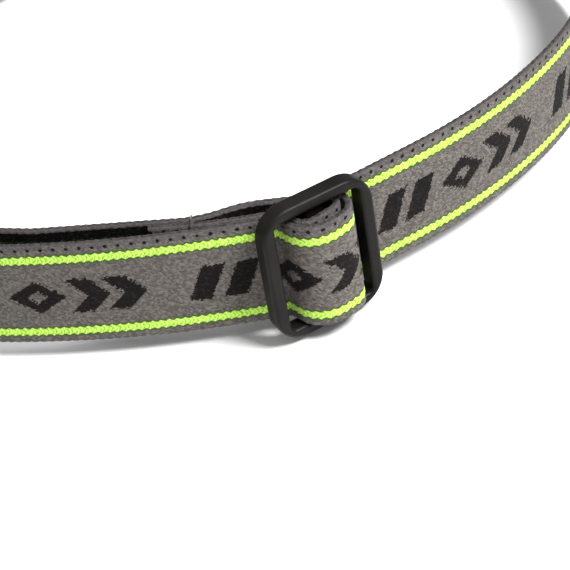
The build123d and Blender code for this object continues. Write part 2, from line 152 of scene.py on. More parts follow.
def heading_on_run(distance):
    return RUN_HEADING + distance / RUN_RADIUS


def from_run(distance, offset):
    """A point beside the run: distance from the bracket, offset towards the head."""
    return run_centre - left_of(heading_on_run(distance)) * (RUN_RADIUS - offset)


def leaving_circle(centre, radius, point):
    line = point - centre
    return heading_of(line) - math.asin(radius / line.length)


def meeting_circle(point, centre, radius):
    line = centre - point
    return heading_of(line) + math.asin(radius / line.length)


rise_turn = heading_on_run(RUN_LENGTH) - RISE_HEADING
rear_turn = math.pi - SIDE_END_HEADING

adjusting = Route(run_start, RUN_HEADING)
adjusting.arc(RUN_RADIUS, RUN_LENGTH / RUN_RADIUS)
adjusting.arc(RISE_RADIUS, -rise_turn)
adjusting.run(RISE_LENGTH)
bar_axis = adjusting.arc(OVER_RADIUS, CROWN_HEADING - RISE_HEADING)
adjusting.run(CROWN_LENGTH)
adjusting.arc(OVER_END_RADIUS, DROP_HEADING - CROWN_HEADING)
adjusting.run(DROP_LENGTH)
adjusting.arc(DROP_RADIUS, SIDE_HEADING - DROP_HEADING)
window_end = adjusting.length
adjusting.run(SIDE_LENGTH)
adjusting.arc(SIDE_RADIUS, SIDE_END_HEADING - SIDE_HEADING)
side_end = adjusting.length
rear_radius = adjusting.point.x / math.sin(rear_turn)
adjusting.arc(rear_radius, rear_turn)

flap_heading = heading_on_run(RUN_LENGTH)
flap_centre = from_run(RUN_LENGTH, PITCH) + left_of(flap_heading) * FLAP_RADIUS


def from_flap(distance, offset):
    """A point beside the sewn end: distance back from the slider, offset towards the head."""
    return flap_centre - left_of(flap_heading - distance / FLAP_RADIUS) * (FLAP_RADIUS - offset)


rest = from_run(*REST)
sewn_far = from_flap(FLAP_LENGTH + 3 * MM, PITCH)
sewn_near = from_flap(FLAP_LENGTH - SEWN_LENGTH, PITCH)
slack = from_run(*SLACK)
loop_front = direction(RISE_HEADING) * (LOOP_CROWN - LOOP_RADIUS)
loop_far = bar_axis + direction(CROWN_HEADING) * LOOP_REACH + loop_front
return_heading = leaving_circle(END_BAR, BAR_TURN, rest)
loop_heading = meeting_circle(slack, loop_far, LOOP_RADIUS)
loop_start = loop_far + left_of(loop_heading) * LOOP_RADIUS

second_layer = Route(run_start, RUN_HEADING + math.pi)
second_layer.arc(BAR_TURN, return_heading - RUN_HEADING - math.pi)
second_layer.towards(rest, sewn_far)
second_layer.towards(sewn_far, sewn_near)
second_layer.towards(sewn_near, slack)
second_layer.towards(slack, loop_start)
second_layer.run((loop_start - second_layer.point).length)
second_layer.arc(LOOP_RADIUS, CROWN_HEADING - math.pi - loop_heading)
second_layer.run(LOOP_REACH + OVER_RADIUS - PITCH - LOOP_RADIUS)
second_layer.arc(LOOP_RADIUS, RISE_HEADING - CROWN_HEADING)
second_layer.run(RISE_LENGTH + LOOP_CROWN - LOOP_RADIUS)
second_layer.arc(RISE_RADIUS + PITCH, rise_turn)
second_layer.arc(FLAP_RADIUS, -FLAP_LENGTH / FLAP_RADIUS)

rear_point = adjusting.point
to_rear = rear_point - run_centre
fixed_radius = (RUN_RADIUS**2 - to_rear.length_squared) / (2 * (RUN_RADIUS - to_rear.y))
between_centres = run_centre - (rear_point - Vector((0, fixed_radius)))
join_heading = math.atan2(-between_centres.x, between_centres.y)

fixed_side = Route(run_start, RUN_HEADING)
fixed_side.arc(RUN_RADIUS, join_heading - RUN_HEADING)
fixed_side.arc(fixed_radius, math.pi - join_heading)

flap_joint = from_run(FIXED_FLAP_LENGTH - SEWN_LENGTH - 4 * MM, PITCH)
flap_end = from_run(FIXED_FLAP_LENGTH, PITCH)
fixed_heading = leaving_circle(END_BAR, BAR_TURN, flap_joint)
fixed_flap = Route(run_start, RUN_HEADING + math.pi)
fixed_flap.arc(BAR_TURN, fixed_heading - RUN_HEADING - math.pi)
fixed_flap.towards(flap_joint, flap_end)
fixed_flap.run((flap_end - fixed_flap.point).length)


# ---- formulas in material nodes ---------------------------------------------------------------
class Field:
    """A number worked out over a surface by a material's nodes, so that a pattern reads as a formula."""

    def __init__(self, tree, socket):
        self.tree = tree
        self.socket = socket

    def math(self, operation, *others):
        node = self.tree.nodes.new("ShaderNodeMath")
        node.operation = operation
        for place, value in zip(node.inputs, (self, *others)):
            if isinstance(value, Field):
                self.tree.links.new(value.socket, place)
            else:
                place.default_value = value
        return Field(self.tree, node.outputs[0])

    def __add__(self, other):
        return self.math("ADD", other)

    def __sub__(self, other):
        return self.math("SUBTRACT", other)

    def __mul__(self, other):
        return self.math("MULTIPLY", other)

    def __truediv__(self, other):
        return self.math("DIVIDE", other)

    def floor(self):
        return self.math("FLOOR")

    def size(self):
        return self.math("ABSOLUTE")

    def wrapped(self, period):
        return self.math("FLOORED_MODULO", period)

    def zigzag(self, period):
        """0 to 1 and back over each period."""
        return self.math("PINGPONG", period / 2) * (2 / period)

    def least(self, other):
        return self.math("MINIMUM", other)

    def most(self, other):
        return self.math("MAXIMUM", other)

    def inverse(self):
        return self * -1.0 + 1.0

    def under(self, limit, edge=0.05):
        """1 where the field is under limit, with a soft edge."""
        share = (self - limit) * (-1.0 / edge) + 0.5
        share.socket.node.use_clamp = True
        return share


def new_material(name):
    material = bpy.data.materials.new(name)
    material.use_nodes = True
    tree = material.node_tree
    return material, tree, tree.nodes["Principled BSDF"]


def texture_place(tree, output="Object"):
    return tree.nodes.new("ShaderNodeTexCoord").outputs[output]


def noise(tree, place, scale, detail=2.0, roughness=0.5):
    node = tree.nodes.new("ShaderNodeTexNoise")
    node.inputs["Scale"].default_value = scale
    node.inputs["Detail"].default_value = detail
    node.inputs["Roughness"].default_value = roughness
    tree.links.new(place, node.inputs["Vector"])
    return Field(tree, node.outputs["Fac"])


def ramp(tree, field, *stops):
    """A colour for each value of a field. stops are (value, colour)."""
    node = tree.nodes.new("ShaderNodeValToRGB")
    points = node.color_ramp.elements
    while len(points) < len(stops):
        points.new(0.5)
    for place, (value, colour) in enumerate(stops):
        points[place].position = value
        points[place].color = (*colour, 1.0)
    tree.links.new(field.socket, node.inputs["Fac"])
    return node.outputs["Color"]


def mix(tree, share, first, second):
    """first where share is 0, second where it is 1. Colours are sockets or tuples."""
    node = tree.nodes.new("ShaderNodeMix")
    node.data_type = "RGBA"
    tree.links.new(share.socket, node.inputs["Factor"])
    for name, colour in (("A", first), ("B", second)):
        place = [s for s in node.inputs if s.name == name and s.type == "RGBA"][0]
        if isinstance(colour, tuple):
            place.default_value = (*colour, 1.0)
        else:
            tree.links.new(colour, place)
    return [s for s in node.outputs if s.type == "RGBA"][0]


def bump(tree, shader, height, distance, strength=1.0):
    node = tree.nodes.new("ShaderNodeBump")
    node.inputs["Distance"].default_value = distance
    node.inputs["Strength"].default_value = strength
    tree.links.new(height.socket, node.inputs["Height"])
    tree.links.new(node.outputs["Normal"], shader.inputs["Normal"])


def srgb(red, green, blue):
    """An sRGB colour, 0 to 255, as linear numbers."""
    return tuple(((c / 255 + 0.055) / 1.055) ** 2.4 if c > 10 else c / 3294.6 for c in (red, green, blue))


# ---- webbing materials ------------------------------------------------------------------------
# Lengths in this part are in mm: along the band, or above its lower edge.
MIDDLE_LINE = 12.0
STITCH_ALONG = 0.46  # one knitted stitch
STITCH_ACROSS = 0.38
STITCH_SLANT = 0.35  # of a stitch's length, over its own row
PATTERN_STEP = 0.4  # the motif's edges follow steps of this size
LOW_STRIPE = 2.9
HIGH_STRIPE = 20.5
STRIPE_HALF = 0.82
STRIPE_OUTLINE = 0.36  # dark yarn beyond each side of a stripe
BRAID_PERIOD = 0.81
SWAY_PERIOD = 1.62
MARGIN_LINE = 22.7  # the band is a little darker above this
DOT_LINE = 22.9
DOT_PITCH = 2.55
DOT_RADIUS_SQUARED = 0.14
SELVEDGE_FROM = 11.5  # either side of the middle line
RIM_FROM = 11.85
MOTIF_LINE = 11.3
MOTIF_HALF = 4.0
MOTIF_PERIOD = 52.0
MOTIF_EDGE = 0.02  # softness of the motif's edges
STROKE_HALF = 2.3  # half the width of a bar or an arrowhead's stroke
BAR_PLACES = (5.2, 12.2)
BAR_SLANT = 0.45
DIAMOND_PLACE = 23.6
DIAMOND_HALF = 6.0
DIAMOND_HOLE = 0.34  # of the diamond's size
ARROW_PLACES = (36.0, 43.2)
ARROW_SLANT = 0.95


def webbing_places(tree):
    """Millimetres along the band and above its lower edge."""
    split = tree.nodes.new("ShaderNodeSeparateXYZ")
    tree.links.new(texture_place(tree, "UV"), split.inputs[0])
    along = Field(tree, split.outputs["X"]) * 1000.0
    above = Field(tree, split.outputs["Y"]) * 1000.0
    return along, above


def plane_place(tree, across, up):
    """A texture place made of two fields."""
    join = tree.nodes.new("ShaderNodeCombineXYZ")
    tree.links.new(across.socket, join.inputs["X"])
    tree.links.new(up.socket, join.inputs["Y"])
    return join.outputs[0]


def random_of(tree, column, row):
    """One random number, 0 to 1, for each stitch."""
    random = tree.nodes.new("ShaderNodeTexWhiteNoise")
    random.noise_dimensions = "2D"
    tree.links.new(plane_place(tree, column, row), random.inputs["Vector"])
    return Field(tree, random.outputs["Value"])


def knit(tree, along, above, lean):
    """Rows of slanted stitches: how high the yarn stands, and a random number for each stitch."""
    row = (above / STITCH_ACROSS).floor()
    within = above / STITCH_ACROSS - row
    slanted = along + row * (STITCH_ALONG * lean) + within * (STITCH_ALONG * STITCH_SLANT)
    column = (slanted / STITCH_ALONG).floor()
    rise = slanted.zigzag(STITCH_ALONG) * 0.75 + above.zigzag(STITCH_ACROSS) * 0.45
    return rise, random_of(tree, column, row)


def stepped(field):
    """The field held level over each step of the pattern."""
    return (field / PATTERN_STEP).floor() * PATTERN_STEP


def strokes(field, centres):
    """1 on two strokes across the field."""
    first, second = [(field - centre).size().under(STROKE_HALF, MOTIF_EDGE) for centre in centres]
    return first.most(second)


def motif(along, above, ragged):
    """Slanted bars, a pierced diamond and a pair of arrowheads, repeated along the band."""
    place = stepped(along + ragged).wrapped(MOTIF_PERIOD)
    row = stepped(above + ragged) - MOTIF_LINE
    spread = row.size()
    bars = strokes(place - row * BAR_SLANT, BAR_PLACES)
    reach = (place - DIAMOND_PLACE).size() * (1 / DIAMOND_HALF) + spread * (1 / MOTIF_HALF)
    diamond = reach.under(1.0, MOTIF_EDGE) * reach.under(DIAMOND_HOLE, MOTIF_EDGE).inverse()
    arrows = strokes(place + spread * ARROW_SLANT, ARROW_PLACES)
    return bars.most(diamond).most(arrows) * spread.under(MOTIF_HALF, MOTIF_EDGE)


def make_webbing_face():
    material, tree, shader = new_material("webbing_face")
    along, above = webbing_places(tree)
    rise, speck = knit(tree, along, above, 0.5)
    place = plane_place(tree, along, above)
    fibre = noise(tree, place, 5.5, 3.0, 0.6)
    drift = noise(tree, place, 0.35, 3.0)
    wobble = noise(tree, place, 1.1, 2.0) - 0.5

    # Melange yarn: every stitch has its own grey, and the fibres within it vary.
    shade = speck * 0.50 + fibre * 0.38 + drift * 0.12
    melange = ramp(
        tree,
        shade,
        (0.12, srgb(62, 58, 56)),
        (0.36, srgb(84, 80, 77)),
        (0.58, srgb(98, 93, 89)),
        (0.86, srgb(124, 118, 112)),
    )
    # The knit's low parts between stitches are painted darker as shade.
    ground = mix(tree, rise.under(0.34, 0.4) * 0.2, melange, srgb(52, 48, 47))

    # Black motif and the row of dots are knitted in, so they follow the stitches.
    black = ramp(tree, speck, (0.0, srgb(5, 4, 4)), (0.8, srgb(11, 8, 8)), (1.0, srgb(30, 25, 23)))
    column = (along / PATTERN_STEP).floor()
    ragged = (random_of(tree, column, (above / PATTERN_STEP).floor()) - 0.5) * 0.7
    patterned = mix(tree, motif(along, above, ragged) * 0.97, ground, black)
    margin = above.under(MARGIN_LINE, 0.5).inverse()
    shaded = mix(tree, margin * 0.3, patterned, srgb(70, 67, 72))
    dot_along = (along + wobble * 0.5).wrapped(DOT_PITCH) - DOT_PITCH / 2
    dot_above = above - DOT_LINE + wobble * 0.3
    dot = (dot_along * dot_along + dot_above * dot_above).under(DOT_RADIUS_SQUARED, 0.1)
    dotted = mix(tree, dot, shaded, srgb(16, 14, 18))

    # Two braided lime stripes with dark green yarn showing at their edges.
    sway = (along.zigzag(SWAY_PERIOD) - 0.5) * 0.42 + wobble * 0.35
    from_stripe = (above - HIGH_STRIPE + sway).size().least((above - LOW_STRIPE + sway).size())
    braid = (along + from_stripe * 0.7 + wobble).zigzag(BRAID_PERIOD)
    # The lime varies with the fibres and stitches, and the braid's low parts are painted darker as shade.
    lime = ramp(
        tree,
        braid * 0.5 + fibre * 0.35 + speck * 0.25,
        (0.2, srgb(104, 166, 42)),
        (0.42, srgb(172, 224, 74)),
        (0.75, srgb(206, 240, 122)),
    )
    outline = (from_stripe - wobble * 0.3).under(STRIPE_HALF + STRIPE_OUTLINE, 0.3)
    edged = mix(tree, outline * 0.95, dotted, srgb(52, 80, 30))
    striped = mix(tree, from_stripe.under(STRIPE_HALF, 0.2), edged, lime)

    # The band is painted a little darker near both selvedges as shade, and its rounded edges near black as
    # painted shade.
    from_middle = (above - MIDDLE_LINE).size()
    edge = from_middle.under(SELVEDGE_FROM, 0.35).inverse()
    rim = from_middle.under(RIM_FROM, 0.15).inverse()
    edge_shaded = mix(tree, edge * 0.3, striped, srgb(60, 56, 56))
    # Painted shade: the rounded edges go near black, speckled by stitch.
    shown = mix(tree, rim * speck * 0.9, edge_shaded, srgb(24, 22, 23))
    tree.links.new(shown, shader.inputs["Base Color"])

    shader.inputs["Roughness"].default_value = 0.92
    shader.inputs["Specular IOR Level"].default_value = 0.08
    shader.inputs["Sheen Weight"].default_value = 0.03
    shader.inputs["Sheen Roughness"].default_value = 0.5
    stripe_rise = from_stripe.under(STRIPE_HALF, 0.5) * (braid * 0.7 + 0.5)
    bump(tree, shader, rise * 0.35 + fibre * 0.5 + speck * 0.25 + stripe_rise - dot * 0.8, 0.2 * MM)
    return material


def make_webbing_reverse():
    material, tree, shader = new_material("webbing_reverse")
    along, above = webbing_places(tree)
    rise, speck = knit(tree, along, above, -0.5)
    fibre = noise(tree, plane_place(tree, along, above), 5.5, 3.0, 0.6)
    yarn = ramp(
        tree,
        speck * 0.7 + fibre * 0.3,
        (0.0, srgb(6, 5, 5)),
        (0.66, srgb(14, 12, 12)),
        (0.9, srgb(44, 40, 38)),
    )
    stripes = (above - HIGH_STRIPE).size().least((above - LOW_STRIPE).size())
    shown = mix(tree, stripes.under(0.7, 0.3) * speck * 0.4, yarn, srgb(84, 116, 46))
    tree.links.new(shown, shader.inputs["Base Color"])
    shader.inputs["Roughness"].default_value = 0.95
    shader.inputs["Specular IOR Level"].default_value = 0.06
    shader.inputs["Sheen Weight"].default_value = 0.02
    bump(tree, shader, rise + fibre * 0.4, 0.2 * MM)
    return material


WEBBING_FACE = make_webbing_face()
WEBBING_REVERSE = make_webbing_reverse()


# ---- webbing geometry ---------------------------------------------------------------------------
FACE_ROWS = 26  # faces across the band
EDGE_STEPS = 7  # faces round each edge
EDGE_REACH = 1.02  # how far an edge is rounded out, of half the thickness
FACE_INSET = 0.93  # where the flat faces lie, of half the thickness
SCALLOP = 0.07 * MM  # waves along the selvedges
SCALLOP_PERIOD = 1.7 * MM
SELVEDGE_SHARE = 0.45  # of the width from the middle; the waves are beyond it


def webbing_section():
    """The band's cross-section, from the foot of its face round both edges: points as
    (offset towards the face, height from the middle, on the reverse)."""
    half = THICKNESS / 2
    edge = half * EDGE_REACH
    flat = BAND_WIDTH / 2 - edge
    section = []
    for side in (1, -1):
        for i in range(FACE_ROWS + 1):
            height = side * (2 * flat * i / FACE_ROWS - flat)
            section.append((side * half * FACE_INSET, height, side < 0))
        for i in range(1, EDGE_STEPS):
            angle = math.pi * i / EDGE_STEPS
            height = side * (flat + edge * math.sin(angle))
            section.append((side * half * math.cos(angle), height, False))
    return section


def sweep_webbing(name, samples, face_side, texture_length, mirrored=False):
    """A length of webbing along samples of a route. face_side is 1 where the patterned face is on
    the right of the route and -1 where it is on the left. texture_length turns a sample's length
    into millimetres of pattern, so that the pattern runs on from one piece to the next."""
    section = webbing_section()
    count = len(section)
    mesh = bpy.data.meshes.new(name)
    work = bmesh.new()
    rings = []
    for point, heading, length in samples:
        outward = left_of(heading) * -face_side
        scallop = SCALLOP * math.sin(2 * math.pi * length / SCALLOP_PERIOD)
        ring = []
        for offset, height, _ in section:
            at_edge = abs(height) > BAND_WIDTH * SELVEDGE_SHARE
            reach = 1 + scallop / (BAND_WIDTH / 2) * at_edge
            place = point + outward * offset
            across = -place.x if mirrored else place.x
            ring.append(work.verts.new((across, place.y, BAND_MID + height * reach)))
        rings.append(ring)
    pattern = work.loops.layers.uv.new("webbing")
    for i, (first, second) in enumerate(zip(rings, rings[1:])):
        u_first = texture_length(samples[i][2])
        u_second = texture_length(samples[i + 1][2])
        for j in range(count):
            k = (j + 1) % count
            corners = (first[j], second[j], second[k], first[k])
            face = work.faces.new(corners)
            face.smooth = True
            face.material_index = int(section[j][2] and section[k][2])
            heights = (section[j][1], section[j][1], section[k][1], section[k][1])
            for loop, u, height in zip(face.loops, (u_first, u_second, u_second, u_first), heights):
                loop[pattern].uv = (u, height + BAND_WIDTH / 2)
    for ring, sample in ((rings[0], samples[0]), (rings[-1], samples[-1])):
        cap = work.faces.new(ring)
        cap.material_index = 1
        for loop in cap.loops:
            loop[pattern].uv = (texture_length(sample[2]), loop.vert.co.z - BAND_MID + BAND_WIDTH / 2)
    bmesh.ops.recalc_face_normals(work, faces=work.faces)
    work.to_mesh(mesh)
    work.free()
    mesh.materials.append(WEBBING_FACE)
    mesh.materials.append(WEBBING_REVERSE)
    piece = bpy.data.objects.new(name, mesh)
    bpy.context.collection.objects.link(piece)
    return piece


def between(route, first, last):
    """The samples of a route from one length to another, both of them lengths of samples."""
    return [s for s in route.samples if first - ROUNDING <= s[2] <= last + ROUNDING]


def nearest_length(route, length):
    return min((s[2] for s in route.samples), key=lambda value: abs(value - length))


window_from = nearest_length(adjusting, RUN_LENGTH - 2 * MM)
window_to = nearest_length(adjusting, window_end + 3 * MM)
side_to = nearest_length(adjusting, side_end)
whole_adjusting = adjusting.length


def in_row(point):
    return (point.x, point.y, BAND_MID)


def along_adjusting(length):
    return length


def along_second_layer(length):
    return -length


def along_fixed(length):
    return whole_adjusting + fixed_side.length - length


def along_fixed_flap(length):
    return whole_adjusting + fixed_side.length + length


webbing_run = sweep_webbing("webbing_run", between(adjusting, 0, window_from), 1, along_adjusting)
webbing_window = sweep_webbing(
    "webbing_window", between(adjusting, window_from, window_to), 1, along_adjusting
)
webbing_side = sweep_webbing("webbing_side", between(adjusting, window_to, side_to), 1, along_adjusting)
webbing_back = sweep_webbing(
    "webbing_back", between(adjusting, side_to, whole_adjusting), 1, along_adjusting
)
webbing_return = sweep_webbing("webbing_return", second_layer.samples, -1, along_second_layer)
webbing_fixed = sweep_webbing("webbing_fixed", fixed_side.samples, 1, along_fixed, mirrored=True)
webbing_flap = sweep_webbing("webbing_flap", fixed_flap.samples, -1, along_fixed_flap, mirrored=True)

side_samples = between(adjusting, window_to, side_to)
run_from_point = in_row(from_run(4 * MM, 0))
run_to_point = in_row(from_run(RUN_LENGTH - 10 * MM, 0))


# ---- stitching ------------------------------------------------------------------------------------
def tube(name, paths, radius, material):
    """Round thread or wire along each path, as one piece."""
    curve = bpy.data.curves.new(name, "CURVE")
    curve.dimensions = "3D"
    curve.bevel_depth = radius
    curve.bevel_resolution = 2
    curve.use_fill_caps = True
    for path in paths:
        spline = curve.splines.new("POLY")
        spline.points.add(len(path) - 1)
        for point, place in zip(spline.points, path):
            point.co = (*place, 1.0)
    shaped = bpy.data.objects.new(name, curve)
    bpy.context.collection.objects.link(shaped)
    bpy.context.view_layer.update()
    mesh = bpy.data.meshes.new_from_object(shaped.evaluated_get(bpy.context.evaluated_depsgraph_get()))
    bpy.data.objects.remove(shaped)
    bpy.data.curves.remove(curve)
    mesh.materials.clear()
    mesh.materials.append(material)
    for face in mesh.polygons:
        face.use_smooth = True
    piece = bpy.data.objects.new(name, mesh)
    bpy.context.collection.objects.link(piece)
    return piece


def make_thread(name, colour):
    material, tree, shader = new_material(name)
    place = texture_place(tree)
    twist = tree.nodes.new("ShaderNodeTexWave")
    twist.bands_direction = "DIAGONAL"
    twist.inputs["Scale"].default_value = 900.0
    twist.inputs["Distortion"].default_value = 0.6
    tree.links.new(place, twist.inputs["Vector"])
    ply = Field(tree, twist.outputs["Fac"])
    dark = tuple(c * 0.45 for c in colour)
    tree.links.new(ramp(tree, ply, (0.15, dark), (0.8, colour)), shader.inputs["Base Color"])
    shader.inputs["Roughness"].default_value = 0.7
    shader.inputs["Sheen Weight"].default_value = 0.3
    bump(tree, shader, ply, 0.08 * MM)
    return material


THREAD = make_thread("thread", srgb(12, 10, 10))


THREAD_RADIUS = 0.16 * MM
TACK_FROM_END = 1.2 * MM  # from each end of the sewn stretch to the middle of a zigzag
TACK_HALF = 0.75 * MM
TACK_REACH = 0.86  # of the band's half width
TACK_CROSSINGS = 34
EDGE_THREAD_FOOT = 0.9  # of the band's half width
EDGE_THREAD_STANDS = 0.05 * MM


def bar_tack(name, beside, flap_length, mirrored=False):
    """Two sewn zigzags through two layers, and at the first a thread over each edge of the band.
    beside turns a distance along the band and an offset towards the head into a point."""
    distance = flap_length - SEWN_LENGTH + TACK_FROM_END
    outer_offset = -THICKNESS / 2
    inner_offset = PITCH + THICKNESS / 2
    half = BAND_WIDTH / 2
    paths = []
    for column in (0.0, SEWN_LENGTH - 2 * TACK_FROM_END):
        for side, offset in ((-1, outer_offset), (1, inner_offset)):
            path = []
            for i in range(TACK_CROSSINGS + 1):
                sway = TACK_HALF * (1 if i % 2 else -1)
                height = half * TACK_REACH * (2 * i / TACK_CROSSINGS - 1)
                spot = beside(distance + column + sway, offset + side * THREAD_RADIUS * 0.7)
                path.append((spot.x, spot.y, BAND_MID + height))
            paths.append(path)
    inner = beside(distance, inner_offset)
    outer = beside(distance, outer_offset)
    for end in (-1, 1):
        edge = BAND_MID + end * (half + EDGE_THREAD_STANDS)
        foot = BAND_MID + end * half * EDGE_THREAD_FOOT
        corners = ((outer, foot), (outer, edge), (inner, edge), (inner, foot))
        paths.append([(spot.x, spot.y, height) for spot, height in corners])
    if mirrored:
        paths = [[(-x, y, z) for x, y, z in path] for path in paths]
    piece = tube(name, paths, THREAD_RADIUS, THREAD)
    return piece


return_tack = bar_tack("return_bar_tack", from_flap, FLAP_LENGTH)
fixed_tack = bar_tack("fixed_bar_tack", from_run, FIXED_FLAP_LENGTH, mirrored=True)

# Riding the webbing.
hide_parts("headband")
for piece in (webbing_run, webbing_return, return_tack):
    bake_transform(piece)
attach(webbing_window, "slider")
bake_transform(webbing_side)
for piece in (webbing_back, webbing_fixed, webbing_flap, fixed_tack):
    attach(piece, "band")

cut_lengths = {
    webbing_run: window_from,
    webbing_window: window_to - window_from,
    webbing_side: side_to - window_to,
    webbing_back: whole_adjusting - side_to,
    webbing_return: second_layer.length,
    webbing_fixed: fixed_side.length,
    webbing_flap: fixed_flap.length,
}


# ---- hard materials ---------------------------------------------------------------------------------
def make_plastic(name, colour, roughness, grain=0.05 * MM, gloss=0.5):
    """Moulded plastic with a fine spark-eroded grain and faint handling marks."""
    material, tree, shader = new_material(name)
    place = texture_place(tree)
    fine = noise(tree, place, 2600.0, 3.0, 0.6)
    broad = noise(tree, place, 90.0, 4.0, 0.6)
    lighter = tuple(min(1.0, c * 1.35 + 0.004) for c in colour)
    tree.links.new(ramp(tree, broad, (0.35, colour), (0.75, lighter)), shader.inputs["Base Color"])
    rough = fine * 0.10 + broad * 0.12 + (roughness - 0.11)
    tree.links.new(rough.socket, shader.inputs["Roughness"])
    shader.inputs["Specular IOR Level"].default_value = gloss
    bump(tree, shader, fine, grain, 0.35)
    return material


def make_metal(name, colour, roughness, brushed_axis=0):
    material, tree, shader = new_material(name)
    stretch = tree.nodes.new("ShaderNodeMapping")
    stretch.inputs["Scale"].default_value = [60.0 if i == brushed_axis else 1400.0 for i in range(3)]
    tree.links.new(texture_place(tree), stretch.inputs["Vector"])
    lines = noise(tree, stretch.outputs["Vector"], 1.0, 4.0)
    dark = tuple(c * 0.78 for c in colour)
    tree.links.new(ramp(tree, lines, (0.3, dark), (0.7, colour)), shader.inputs["Base Color"])
    tree.links.new((lines * 0.25 + (roughness - 0.1)).socket, shader.inputs["Roughness"])
    shader.inputs["Metallic"].default_value = 1.0
    bump(tree, shader, lines, 0.01 * MM, 0.4)
    return material


def make_clear(name, tint, roughness=0.02):
    material, tree, shader = new_material(name)
    smear = noise(tree, texture_place(tree), 120.0, 3.0)
    tree.links.new((smear * 0.05 + roughness).socket, shader.inputs["Roughness"])
    shader.inputs["Base Color"].default_value = (*tint, 1.0)
    shader.inputs["Transmission Weight"].default_value = 1.0
    shader.inputs["IOR"].default_value = 1.49
    return material


def make_board(name):
    material, tree, shader = new_material(name)
    tracks = tree.nodes.new("ShaderNodeTexBrick")
    tracks.inputs["Scale"].default_value = 420.0
    tracks.inputs["Mortar Size"].default_value = 0.03
    tracks.inputs["Color1"].default_value = (*srgb(18, 74, 40), 1.0)
    tracks.inputs["Color2"].default_value = (*srgb(24, 88, 50), 1.0)
    tracks.inputs["Mortar"].default_value = (*srgb(60, 132, 84), 1.0)
    tree.links.new(texture_place(tree), tracks.inputs["Vector"])
    tree.links.new(tracks.outputs["Color"], shader.inputs["Base Color"])
    shader.inputs["Roughness"].default_value = 0.35
    bump(tree, shader, Field(tree, tracks.outputs["Fac"]), 0.03 * MM)
    return material


def make_cell_wrap(name):
    """A plain two-tone film over a steel can, split along the cell, with no lettering."""
    material, tree, shader = new_material(name)
    place = texture_place(tree)
    split = tree.nodes.new("ShaderNodeSeparateXYZ")
    tree.links.new(place, split.inputs[0])
    along = Field(tree, split.outputs["X"])
    bands = along.wrapped(15 * MM).under(5 * MM, 0.2 * MM)
    scuffs = noise(tree, place, 500.0, 4.0)
    film = mix(tree, bands, srgb(38, 38, 42), srgb(176, 138, 74))
    tree.links.new(mix(tree, scuffs * 0.15, film, srgb(150, 150, 150)), shader.inputs["Base Color"])
    tree.links.new((scuffs * 0.2 + 0.2).socket, shader.inputs["Roughness"])
    shader.inputs["Metallic"].default_value = 0.4
    return material


def make_phosphor(name):
    material, tree, shader = new_material(name)
    grains = noise(tree, texture_place(tree), 4000.0, 2.0)
    yellow = ramp(tree, grains, (0.2, srgb(226, 190, 40)), (0.8, srgb(250, 226, 110)))
    tree.links.new(yellow, shader.inputs["Base Color"])
    shader.inputs["Roughness"].default_value = 0.35
    shader.inputs["Coat Weight"].default_value = 0.6
    return material


SLIDER_PLASTIC = make_plastic("slider_plastic", srgb(15, 13, 12), 0.45, 0.03 * MM, 0.12)
FRAME_PLASTIC = make_plastic("frame_plastic", srgb(24, 23, 23), 0.5, gloss=0.3)
SHELL_PLASTIC = make_plastic("shell_plastic", srgb(30, 29, 29), 0.42, gloss=0.35)
DOOR_PLASTIC = make_plastic("door_plastic", srgb(26, 25, 25), 0.46, gloss=0.35)
ACCENT_PLASTIC = make_plastic("accent_plastic", srgb(186, 226, 72), 0.34, 0.02 * MM)
BUTTON_RUBBER = make_plastic("button_rubber", srgb(178, 218, 66), 0.62, 0.06 * MM, 0.35)
BLACK_RUBBER = make_plastic("black_rubber", srgb(26, 25, 25), 0.75, 0.08 * MM, 0.3)
STEEL = make_metal("screw_steel", srgb(178, 178, 182), 0.32)
CONTACT_METAL = make_metal("contact_metal", srgb(196, 190, 178), 0.28, 1)
ALUMINIUM = make_metal("aluminium_core", srgb(206, 206, 208), 0.36, 2)
MIRROR = make_metal("reflector_chrome", srgb(236, 236, 238), 0.14, 1)
CLEAR_LENS = make_clear("clear_lens", (0.97, 0.985, 1.0))
RED_EPOXY = make_clear("red_led", srgb(214, 30, 26), 0.05)
CIRCUIT_BOARD = make_board("circuit_board")
CELL_WRAP = make_cell_wrap("cell_wrap")
PHOSPHOR = make_phosphor("phosphor")

node_materials = {
    "strap_slider": SLIDER_PLASTIC,
    "bracket": FRAME_PLASTIC,
    "pivot_screws": STEEL,
    "rear_shell": SHELL_PLASTIC,
    "front_shell": SHELL_PLASTIC,
    "friction_washers": BLACK_RUBBER,
    "lens": CLEAR_LENS,
    "lens_gasket": BLACK_RUBBER,
    "bezel_ring": ACCENT_PLASTIC,
    "reflector": MIRROR,
    "main_pcb": CIRCUIT_BOARD,
    "heat_sink": ALUMINIUM,
    "led_board": ALUMINIUM,
    "led_chip": PHOSPHOR,
    "side_leds": RED_EPOXY,
    "side_led_boards": CIRCUIT_BOARD,
    "tactile_switch": FRAME_PLASTIC,
    "switch_board": CIRCUIT_BOARD,
    "switch_button": BUTTON_RUBBER,
    "battery_upper": CELL_WRAP,
    "battery_lower": CELL_WRAP,
    "contact_springs": CONTACT_METAL,
    "contact_plates": CONTACT_METAL,
    "bulkhead": FRAME_PLASTIC,
    "battery_door": DOOR_PLASTIC,
    "door_hinge_pin": STEEL,
}
for node, material in node_materials.items():
    for material_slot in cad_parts[node].material_slots:
        material_slot.material = material


